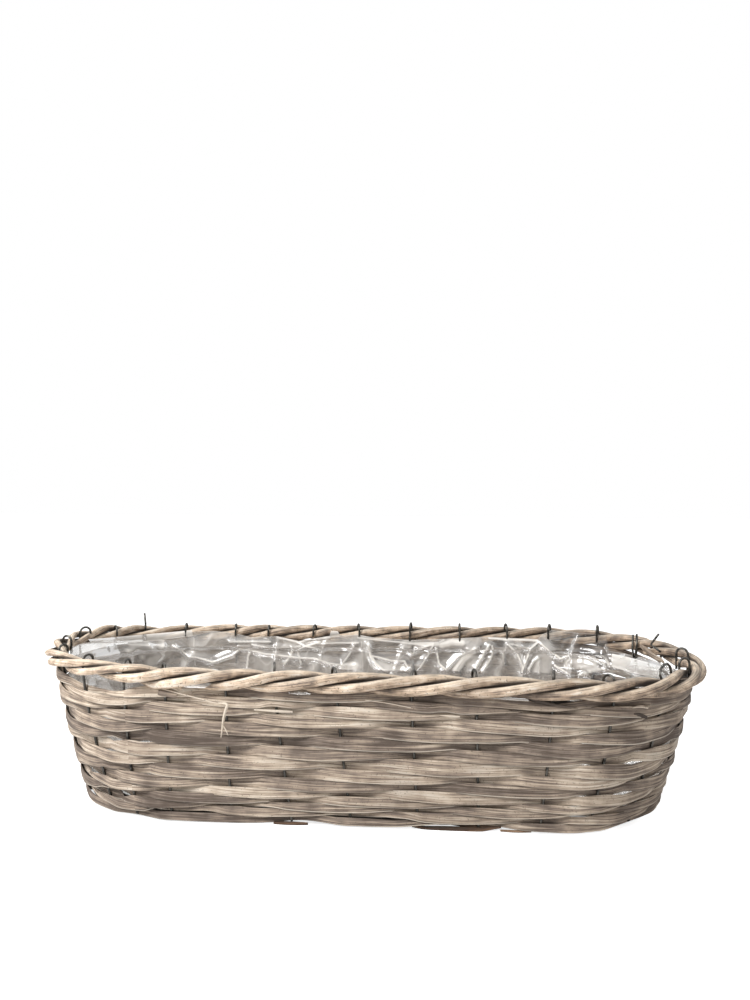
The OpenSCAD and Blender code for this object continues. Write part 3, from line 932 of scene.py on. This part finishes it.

# %% [markdown]
# ## The film liner
#
# A flat sheet of film is pressed into the basket and creases where it can't
# follow two curves at once. It is built as rings that run up the wall from
# the middle of the floor, close together where the camera sees the back wall.
# Small folds come from noise: each one runs where smooth noise passes through
# zero, and the film is whiter along it, partly milky film and partly a painted
# highlight. The long folds of the picture are strokes, and a stroke is a line
# of pixels with a half width, how white its painted highlight is and how far it
# stands up. A simulation would give other folds than those in the picture.

# %% The folds that the camera sees
# (half width in mm, whiteness of the painted highlight, rise in mm, pixels along the stroke)
FILM_STROKES = [
    (0.9, 0.85, 5, [(175, 645), (189, 655), (196, 656), (212, 661), (217, 660), (233, 654), (240, 648), (250, 649)]),
    (0.8, 0.6, 4, [(250, 649), (263, 653), (282, 655), (299, 657.5), (315, 658), (328, 663), (345, 665.5)]),
    (4.5, 0.3, 1, [(172, 648), (163, 655), (152, 661)]),
    (4.0, 0.6, 2, [(343, 667), (355, 666)]),
    (0.8, 0.5, 4, [(354, 645), (349, 655), (341, 666)]),
    (1.3, 0.9, 5, [(369, 643), (370.6, 656), (376, 664), (383, 670), (400, 675), (410, 668)]),
    (0.9, 0.7, 4, [(371, 656), (379, 657.5), (391, 661), (404.5, 661.5), (410, 672)]),
    (4.0, 0.35, 1, [(378, 664), (388, 668), (402, 669)]),
    (3.0, 0.6, 2, [(442, 645), (452, 642), (462, 643)]),
    (1.0, 0.5, 2, [(410, 643), (425, 645), (444, 644)]),
    (0.7, 0.6, 4, [(402.6, 647), (413, 654.6), (417.6, 649), (433.6, 644), (428, 656), (420, 668)]),
    (0.8, 0.75, 4, [(436, 648), (439, 664), (446, 670), (454, 662), (458, 657.5), (475, 648)]),
    (3.6, 0.65, 2, [(475, 650), (463, 660), (456, 671)]),
    (1.4, 0.7, 4, [(488.7, 645), (485, 653), (475, 670), (469, 678)]),
    (0.8, 0.7, 3, [(491.6, 646), (493, 654), (490, 661), (479.5, 678)]),
    (0.8, 0.9, 3, [(488.7, 638.5), (505, 640), (520, 640.5), (537, 641.4)]),
    (0.7, 0.7, 4, [(508, 645), (517, 654), (522, 665.5), (522.6, 676)]),
    (0.6, 0.5, 3, [(509, 644), (518, 646), (528, 649)]),
    (0.9, 0.85, 5, [(538, 642), (529.5, 649), (528, 657.5), (523, 670)]),
    (0.9, 0.8, 5, [(539, 642.6), (551, 653), (561, 660), (573, 655), (589, 657), (601, 662.6), (608, 667)]),
    (0.8, 0.6, 3, [(539, 659), (534, 663), (529, 671)]),
    (0.6, 0.5, 3, [(539, 664), (539, 676)]),
    (0.5, 0.45, 2, [(503, 654), (504, 664)]),
    (9.0, 0.3, 1, [(544, 652), (543, 664), (541, 672)]),
    (0.9, 0.8, 4, [(555, 667), (562, 671), (568, 675), (579, 679)]),
    (6.0, 0.6, 3, [(570, 665), (580, 664), (592, 667)]),
    (1.3, 0.75, 3, [(578, 677), (592, 672), (604, 670), (610, 664)]),
    (1.0, 0.8, 3, [(602.6, 656), (614.6, 663), (626, 668), (637.6, 673.5)]),
    (0.6, 0.4, 2, [(105.6, 642.3), (135, 643), (168.7, 644.3)]),
    (0.5, 0.5, 2, [(96, 656), (107, 655), (117, 654.6)]),
    (0.9, 0.4, 2, [(109, 645), (110, 653)]),
    (1.2, 0.4, 2, [(124, 653), (128, 644)]),
    (0.8, 0.4, 2, [(143, 655), (145, 661)]),
    (0.6, 0.3, 2, [(194, 636), (195, 664)]),
    (0.9, 0.5, 3, [(252, 648), (248, 655), (246.6, 667)]),
    (1.0, 0.45, 3, [(293, 647), (290, 656), (284, 664)]),
    (0.8, 0.4, 3, [(296.6, 648), (299, 656), (301, 664)]),
    (0.7, 0.55, 2, [(230, 640), (250, 640), (271, 640.4)]),
    (0.7, 0.6, 2, [(253, 643), (268, 646), (292, 646.6), (301, 645)]),
    (1.0, 0.7, 3, [(298, 641), (306, 645), (321, 649)]),
    (1.0, 0.7, 3, [(299, 649), (306, 645), (320, 641)]),
    (0.8, 0.6, 2, [(278, 636), (294, 640), (299, 641), (310, 638.5), (330, 636.5)]),
    (0.7, 0.6, 2, [(318, 642.6), (338, 642), (358.6, 642)]),
    (0.7, 0.5, 2, [(358.6, 637), (373.5, 639), (410, 643), (438, 642.6), (444, 640)]),
    (0.5, 0.35, 1, [(362, 641), (362.5, 670)]),
]
FILM_EDGE = [(60, 653), (70, 647.5), (80, 643.5), (92, 641), (108, 641), (134, 640), (169, 638), (191, 631),
             (194, 630), (214, 629), (236, 632), (252, 636), (278, 635), (299, 640), (318, 637), (330, 635),
             (357, 634), (374, 637), (410, 640), (444, 639), (489, 637.5), (537, 640), (543, 635), (551.5, 631.5),
             (578, 634), (608, 637), (609.5, 652), (638, 657), (668, 665)]

# %% Size and place of the film
FILM_Z = WIRE_Z + BASE_OFF + STRIP_T / 2 + STRIP_GAP
BORDER_IN = ROD_SWING - ROD_SHIFT + ROD_D / 2 + 0.3 * MM
UNDER_BORDER = WALL_TOP - 4 * MM
FRONT_EDGE_Z = 113 * MM
CORNER_R = 11 * MM
FINE_STEP, COARSE_STEP = 1.0 * MM, 5 * MM
FINE_FROM, FINE_TO = HALF_TURN - STRAIGHT - 60 * MM, HALF_TURN + STRAIGHT + 90 * MM
SEEN_FROM_Z = 72 * MM


def film_place(x, y):
    return seen_at(x, y, -INNER_OFF - 4 * MM, back=True)


strokes = []
for half, white, rise, pixels in FILM_STROKES:
    points = [film_place(x, y) for x, y in pixels]
    reach = max(2.2 * half, 9) * MM
    box = (min(s for s, z in points) - reach, max(s for s, z in points) + reach,
           min(z for s, z in points) - reach, max(z for s, z in points) + reach)
    strokes.append((half * MM, white, rise * MM, points, box))
film_edge = sorted(film_place(x, y) for x, y in FILM_EDGE)
film_edge = [(film_edge[0][0] - 60 * MM, FRONT_EDGE_Z)] + film_edge + [(film_edge[-1][0] + 40 * MM, FRONT_EDGE_Z)]
print("strokes:", len(strokes), "edge of the film at mm:", [round(z / MM) for s, z in film_edge])


# %% Helpers for the film
def edge_height(s):
    """The height of the film's edge above the floor at s."""
    for (s_a, z_a), (s_b, z_b) in zip(film_edge, film_edge[1:]):
        if s_a <= s < s_b:
            return z_a + (z_b - z_a) * (s - s_a) / (s_b - s_a)
    return FRONT_EDGE_Z


def distance(s, z, points):
    """How far a place on the wall is from a line of places."""
    least = 1.0
    for (s_a, z_a), (s_b, z_b) in zip(points, points[1:]):
        ds, dz = s_b - s_a, z_b - z_a
        share = ((s - s_a) * ds + (z - z_a) * dz) / (ds * ds + dz * dz)
        share = min(1, max(0, share))
        least = min(least, math.hypot(s - s_a - share * ds, z - z_a - share * dz))
    return least


def stroke_marks(s, z):
    """How far the strokes raise the film at a place, and how much painted highlight they put on it."""
    rise = white = 0
    for half, much, height, points, box in strokes:
        if box[0] < s < box[1] and box[2] < z < box[3]:
            d = distance(s, z, points)
            # painted highlight along the crease
            white = max(white, much * ease(1.6 - d / half))
            rise = max(rise, height * max(0, 1 - d / max(2 * half, 8 * MM)) ** 1.6)
    return rise, white


def wrinkle(x, y, z, size):
    """1 on a net of folds and 0 between them."""
    n = abs(noise.noise(Vector((x, y, z)) / size))
    return max(0, 1 - n / 0.16) ** 1.5


def open_sheet(name, rows, closed, marks, finish):
    """A mesh through rows of points, one layer thick, with a value on every point."""
    n = len(rows[0])
    steps = n if closed else n - 1
    faces = [(j * n + i, j * n + (i + 1) % n, (j + 1) * n + (i + 1) % n, (j + 1) * n + i)
             for j in range(len(rows) - 1) for i in range(steps)]
    mesh = bpy.data.meshes.new(name)
    mesh.from_pydata([p for row in rows for p in row], [], faces)
    layer = mesh.attributes.new("milk_and_glint", "FLOAT", "POINT")
    layer.data.foreach_set("value", [value for row in marks for value in row])
    piece = bpy.data.objects.new(name, mesh)
    bpy.context.scene.collection.objects.link(piece)
    paint(piece, finish)
    for polygon in mesh.polygons:
        polygon.use_smooth = True
    return piece


# %% Lay the film
columns = []
s = 0
while s < 2 * HALF_TURN - COARSE_STEP / 2:
    columns.append(s)
    s += FINE_STEP if FINE_FROM < s < FINE_TO else COARSE_STEP

rows, milk_and_glints = [], []
OUTER_SHARE = 1 - (INNER_OFF + CORNER_R) / (HALF_W - SIDE_LEAN)
for step in range(15):
    row, milk_and_glint = [], []
    for s in columns:
        p = base(s, OUTER_SHARE * step / 14, FILM_Z + 0.4 * MM)
        fold = wrinkle(p.x, p.y, 0.5, 70 * MM)
        p.z += 4 * MM * fold + 1.5 * MM * wrinkle(p.x, p.y, 1.5, 30 * MM)
        row.append(p)
        # whiter along the folds of the floor: partly milky film, partly painted highlight
        milk_and_glint.append(0.3 * fold)
    rows.append(row)
    milk_and_glints.append(milk_and_glint)
heights = [(FILM_Z + CORNER_R * (1 - math.cos(a)), CORNER_R * (1 - math.sin(a)))
           for a in (math.pi / 8, math.pi / 4, 3 * math.pi / 8, math.pi / 2)]
z = FILM_Z + CORNER_R
while z < SEEN_FROM_Z:
    z += 6 * MM
    heights.append((z, 0))
top_rows = round((122 * MM - z) / FINE_STEP)
for level, (z, corner) in enumerate(heights + [(z, 0)] * top_rows):
    share = max(0, level - len(heights) + 1) / top_rows
    row, milk_and_glint = [], []
    for s in columns:
        height = z + share * (edge_height(s) - z)
        p = wall(s, height)
        turned = ease((abs(p.x) - STRAIGHT) / (50 * MM))
        fold = wrinkle(p.x, p.y, 0.3 * height, 34 * MM)
        small = wrinkle(p.x, p.y, height + 2, 15 * MM)
        rise, white = stroke_marks(s, height) if share else (0, 0)
        calm = 1 - 0.85 * ease(-p.y / HALF_W * 3)
        fold, small = calm * fold, calm * small
        inset = 0.4 * MM + (1.8 + 2.5 * turned) * MM * fold + 0.4 * MM * small + rise
        inset *= 1 - 0.7 * ease((share - 0.75) / 0.25)
        clear = INNER_OFF + (BORDER_IN - INNER_OFF) * ease((height - UNDER_BORDER + 6 * MM) / (6 * MM))
        row.append(wall(s, height, -clear - corner - inset))
        # painted highlight along the top edge of the film
        rim_white = 0.35 if level == len(heights) + top_rows - 1 else 0
        facing_lamp = 0.3 * ease((p.x / HALF_L - 0.62) / 0.15)
        # painted highlight on the strokes; whiter folds, partly milky film and partly painted highlight
        milk_and_glint.append(max(white, 0.22 * fold + 0.1 * small) + rim_white - facing_lamp)
    rows.append(row)
    milk_and_glints.append(milk_and_glint)
film = open_sheet("clear_film", rows, True, milk_and_glints, film_finish)
stand_for(film, "clear_film", "film_liner")
print("points of the film:", len(film.data.vertices))

# %% [markdown]
# Here and there the sheet is folded over itself: a hem at the back left, a
# stiff flap at the back right, and scraps that stick out under the border.
# The film of a flap is milky where it lies double, and its upper and lower
# edges get a painted highlight.

# %% Folded pieces of film
def film_flap(name, upper, lower, back, off, whiteness, columns_each=14, layers=5):
    """A flap of film between two lines of pixels that have the same number of points."""
    rows, marks = [], []
    for layer in range(layers):
        v = layer / (layers - 1)
        row, mark = [], []
        for (ax, ay), (bx, by), (cx, cy), (dx, dy) in zip(upper, upper[1:], lower, lower[1:]):
            for step in range(columns_each):
                u = step / (columns_each - 1)
                x = (ax + (bx - ax) * u) * (1 - v) + (cx + (dx - cx) * u) * v
                y = (ay + (by - ay) * u) * (1 - v) + (cy + (dy - cy) * u) * v
                s, z = seen_at(x, y, off, back)
                row.append(wall(s, z, off + (-1 if back else 1) * MM * math.sin(math.pi * v)))
                # milky where the film lies double, with a painted highlight along the upper and lower edges
                mark.append(whiteness + 0.1 * wander(s * 40, z * 90) + (0.4 if v in (0, 1) else 0))
        rows.append(row)
        marks.append(mark)
    piece = open_sheet(name, rows, False, marks, film_finish)
    return stand_for(piece, "clear_film")


film_flaps = [
    film_flap("film_hem", [(88, 639), (116, 636), (143.5, 633), (192, 628.6)],
              [(90, 643), (116, 642), (143.5, 641), (193, 634.5)], True, -BORDER_IN - 0.6 * MM, 0.38),
    film_flap("film_flap", [(612, 655), (636, 660), (662, 667)],
              [(612, 668), (636, 675), (660, 678)], True, -BORDER_IN - 1.5 * MM, 0.2),
    film_flap("film_tab", [(331, 630.5), (338, 631)], [(329, 637), (341, 636.5)], True, -BORDER_IN - 0.5 * MM, 0.3),
    film_flap("film_scrap", [(172, 683), (187, 681), (212, 685)], [(172, 684), (186, 689), (204, 689.5)],
              False, WALL_OFF + 3.5 * MM, 0.1),
    film_flap("film_shred", [(288, 693), (299, 692), (311, 694)], [(289, 694), (299, 695.5), (310, 695)],
              False, WALL_OFF + 2.5 * MM, 0.1),
    film_flap("film_sliver", [(486, 696), (508, 696.5), (528, 697.5)], [(488, 697), (508, 699), (529, 700)],
              False, WALL_OFF + 2.5 * MM, 0.25),
]
print("flaps of film:", len(film_flaps))

# %% [markdown]
# ## Loose ends
#
# Where a length of willow ends, its cut tip sticks out, and some of them have
# split into fibres. Each one is a thin flat splint along a line of pixels.
# Near black splints lie behind slits and holes of the wall and stand only for
# the shade seen through them: they are painted shade.

# %% Place the loose ends
def smooth_line(points, rounds=2):
    """Cuts the corners of a line of points, which makes it round."""
    for _ in range(rounds):
        cut = [points[0]]
        for a, b in zip(points, points[1:]):
            cut.append([0.75 * p + 0.25 * q for p, q in zip(a, b)])
            cut.append([0.25 * p + 0.75 * q for p, q in zip(a, b)])
        points = cut + [points[-1]]
    return points


def splint(name, stations, tone, back=False, dark=0.0, thick=0.5, finish=strip_finish, slot="willow_strip"):
    """A thin willow splint. Each station is a pixel, the half width in mm and the place out from the stakes. dark is
    how much painted shade is mixed into its colour.
    """
    rings, path = [], []
    for x, y, half, off in smooth_line([list(station) for station in stations]):
        s, z = seen_at(x, y, off * MM, back)
        path.append((wall(s, max(z, 1.2 * MM), off * MM), half * MM, line(s)[1]))
    for i, (p, half, out) in enumerate(path):
        way = (path[min(i + 1, len(path) - 1)][0] - path[max(i - 1, 0)][0]).normalized()
        across = way.cross(out).normalized()
        face = across.cross(way)
        rings.append([p + half * math.cos(a) * across + thick * MM / 2 * math.sin(a) * face
                      for a in (math.pi * j / 4 for j in range(8))])
    marks = {"tone": like(rings, tone), "seed": like(rings, 3.0 * len(name)), "rim": like(rings, 0.0),
             "painted_shade": like(rings, dark)}
    piece = skin(name, rings, False, marks)
    paint(piece, finish)
    return stand_for(piece, slot)


splints_and_shade_sheets = [
    splint("peeled_fibre", [(159, 689.5, 0.4, 6), (180, 695, 0.5, 6), (200, 700, 0.5, 6.5), (217, 704.5, 0.3, 6)],
           1.05, thick=0.7),
    splint("bent_splinter", [(218, 704, 0.5, 4.5), (228, 704.5, 1.1, 6.5), (226, 710, 1.2, 8), (223.5, 719, 1.1, 8),
                             (222.5, 729, 0.9, 7.5), (221, 738, 0.4, 7)], 1.0, thick=1.0),
    splint("splinter_fork", [(223.5, 727, 0.5, 7.6), (226, 731, 0.5, 8), (228, 736, 0.25, 8.4)], 1.0, thick=0.7),
    splint("split_stub", [(166, 684.5, 1.4, 5), (175, 688, 1.9, 6), (182, 690.5, 1.0, 6.5)], 0.85, thick=1.2),
    splint("split_stub_tip", [(172, 688.5, 1.0, 6.4), (179, 692.5, 0.4, 7)], 0.95, thick=0.7),
    splint("long_fibre", [(365, 700, 0.3, 5.2), (388, 703, 0.4, 5.4), (411, 707.5, 0.3, 5.2)], 1.1, thick=0.5),
    # pale edges: partly paler worn wood, partly a painted highlight
    splint("pale_edge", [(254, 710.5, 0.4, 3.6), (274, 711.5, 1.1, 3.8), (293, 712.5, 0.9, 3.6)], 1.15, thick=0.6),
    splint("pale_edge_right", [(440, 715, 0.3, 3.6), (452, 715.5, 0.9, 3.8), (460, 716, 0.5, 3.6)], 1.15, thick=0.6),
    # painted shade on the end of a strip that lies in shade
    splint("brown_strip_end", [(526, 697, 0.5, 3.4), (536, 699, 1.2, 3.6), (552, 703, 1.0, 3.6),
                               (578, 707, 0.4, 3.6)], 0.0, dark=0.4),
    splint("cut_end_left", [(158, 694, 2.0, 4.6), (170, 696, 2.4, 5.0), (177, 697, 2.2, 4.8)], 0.4, thick=0.9),
    # painted shade: a near black sheet behind the wire, where a hole of the weave shows shade
    splint("cut_end_middle", [(458, 715, 1.0, -1.15), (464, 715, 2.8, -1.15), (480, 716, 3.0, -1.15),
                              (500, 716, 1.0, -1.15)], 0.05, dark=0.85, thick=0.15),
    splint("cut_end_right", [(632, 706, 0.5, 4.2), (640, 704, 1.2, 5.6), (648, 706, 0.8, 4.8)], 0.8, thick=0.8),
    splint("frayed_end_right", [(634, 712, 0.5, 4.0), (640, 713, 1.4, 5.0), (647, 716, 1.3, 4.6)], 0.1, dark=0.6),
    splint("crumpled_end", [(640, 647, 1.6, -8), (648, 651.5, 3.0, -9.5), (655, 658, 2.2, -10.5),
                            (661, 660, 2.4, -11), (664, 663, 1.2, -11)], 0.5, back=True, thick=1.0),
    splint("foot_rod_left", [(274, 825, 1.2, 0.2), (290, 826, 1.9, 0.8), (308, 825, 1.0, 0.2)], 0.25,
           thick=1.8, finish=base_finish, slot="base_willow"),
    splint("foot_rod_middle", [(412, 826, 0.9, 0.2), (440, 830, 2.3, 1.0), (470, 831, 2.3, 1.2), (501, 827, 0.9, 0.4)],
           0.3, thick=2, finish=base_finish, slot="base_willow"),
    splint("foot_rod_right", [(500, 832, 0.8, 0.8), (516, 833, 1.1, 1.6), (531, 832, 0.7, 0.8)], 0.75,
           thick=1.8, finish=base_finish, slot="base_willow"),
    # painted shade: near black sheets behind the slits and under the sagging top row, where only shade is seen
    splint("shade_1", [(92, 784, 2, -3.2), (112, 792, 3, -3.2), (134, 800, 2, -3.2)], 0.1, dark=1.0, thick=0.2),
    splint("shade_2", [(140, 809, 2, -3.2), (185, 812, 3, -3.2), (230, 816, 2, -3.2)], 0.1, dark=1.0, thick=0.2),
    splint("shade_3", [(320, 816, 2, -3.2), (370, 819, 3, -3.2), (422, 822, 2, -3.2)], 0.1, dark=1.0, thick=0.2),
    splint("shade_4", [(228, 808, 2, -3.2), (260, 810, 2.5, -3.2), (292, 811, 2, -3.2)], 0.1, dark=1.0, thick=0.2),
    splint("shade_5", [(550, 820, 2, -3.2), (575, 820, 2.5, -3.2), (602, 819, 2, -3.2)], 0.1, dark=1.0, thick=0.2),
    splint("shade_6", [(512, 699, 3, -3.2), (550, 702, 4, -3.2), (590, 706, 3, -3.2)], 0.1, dark=1.0, thick=0.2),
    splint("shade_7", [(598, 810, 2, -3.2), (616, 809, 2.5, -3.2), (640, 806, 2, -3.2)], 0.1, dark=1.0, thick=0.2),
    splint("weave_end_upper", [(606, 644, 0.8, 0), (631, 648.5, 0.9, -2), (648, 656, 0.9, -3), (660, 663, 0.6, -3)],
           0.45, back=True),
    splint("weave_end_lower", [(606, 649, 0.7, 0), (631, 653.5, 0.8, -2), (650, 661, 0.8, -3), (662, 665, 0.5, -3)],
           0.25, back=True),
]
print("loose ends:", len(splints_and_shade_sheets))

# %% [markdown]
# ## Floor and light
#
# The basket stands on a plain white floor in soft light. The main lamp stands
# near, at the front left, so the left half is bright and the right end falls
# into shade. A weak lamp hangs above, and a pale sky lies all round. The
# floor looks white to the camera, but sends only plain light to the basket.

# %% Floor, lamps and sky
FLOOR_LIFT = 0.75
bpy.ops.object.select_all(action="DESELECT")
bpy.ops.mesh.primitive_plane_add(size=60, location=(0, 0, 0))
floor = bpy.context.object
floor.name = "studio_floor"
floor_material, tree = new_material("white_floor")
seen = add(tree, "ShaderNodeLightPath").outputs["Is Camera Ray"]
lift = add(tree, "ShaderNodeMath", {"operation": "MULTIPLY"}, i0=seen, i1=FLOOR_LIFT).outputs[0]
shader = add(tree, "ShaderNodeBsdfPrincipled", Base_Color=linear("#f4f4f4"), Roughness=0.9,
             Emission_Color=linear("#ffffff"), Emission_Strength=lift)
finish_material(tree, shader.outputs["BSDF"])
paint(floor, floor_material)


def lamp(name, place, target, size, power):
    bpy.ops.object.light_add(type="AREA", location=place)
    light = bpy.context.object
    light.name = name
    light.data.size = size
    light.data.energy = power
    light.rotation_euler = (Vector(target) - Vector(place)).to_track_quat("-Z", "Y").to_euler()


lamp("key_lamp", (-0.85, -0.8, 1.0), (-0.1, 0, 0.05), 0.5, 21.5)
lamp("fill_lamp", (0.9, -1.2, 0.9), (0, 0, 0.05), 0.8, 1.5)
lamp("top_lamp", (0, 0.15, 1.5), (0, 0, 0), 0.9, 6)

world = bpy.data.worlds.new("studio")
bpy.context.scene.world = world
world.use_nodes = True
world.node_tree.nodes.clear()
sky = world.node_tree
path_node = add(sky, "ShaderNodeLightPath")
sharp = add(sky, "ShaderNodeMath", {"operation": "MAXIMUM"},
            i0=path_node.outputs["Is Camera Ray"], i1=path_node.outputs["Is Glossy Ray"]).outputs[0]
sharp = add(sky, "ShaderNodeMath", {"operation": "MAXIMUM"},
            i0=sharp, i1=path_node.outputs["Is Transmission Ray"]).outputs[0]
strength = add(sky, "ShaderNodeMapRange", Value=sharp, To_Min=0.32, To_Max=1.0).outputs["Result"]
glow = add(sky, "ShaderNodeBackground", Color=linear("#ffffff"), Strength=strength)
sky_out = add(sky, "ShaderNodeOutputWorld")
sky.links.new(glow.outputs["Background"], sky_out.inputs["Surface"])
bpy.context.scene.view_settings.view_transform = "Standard"
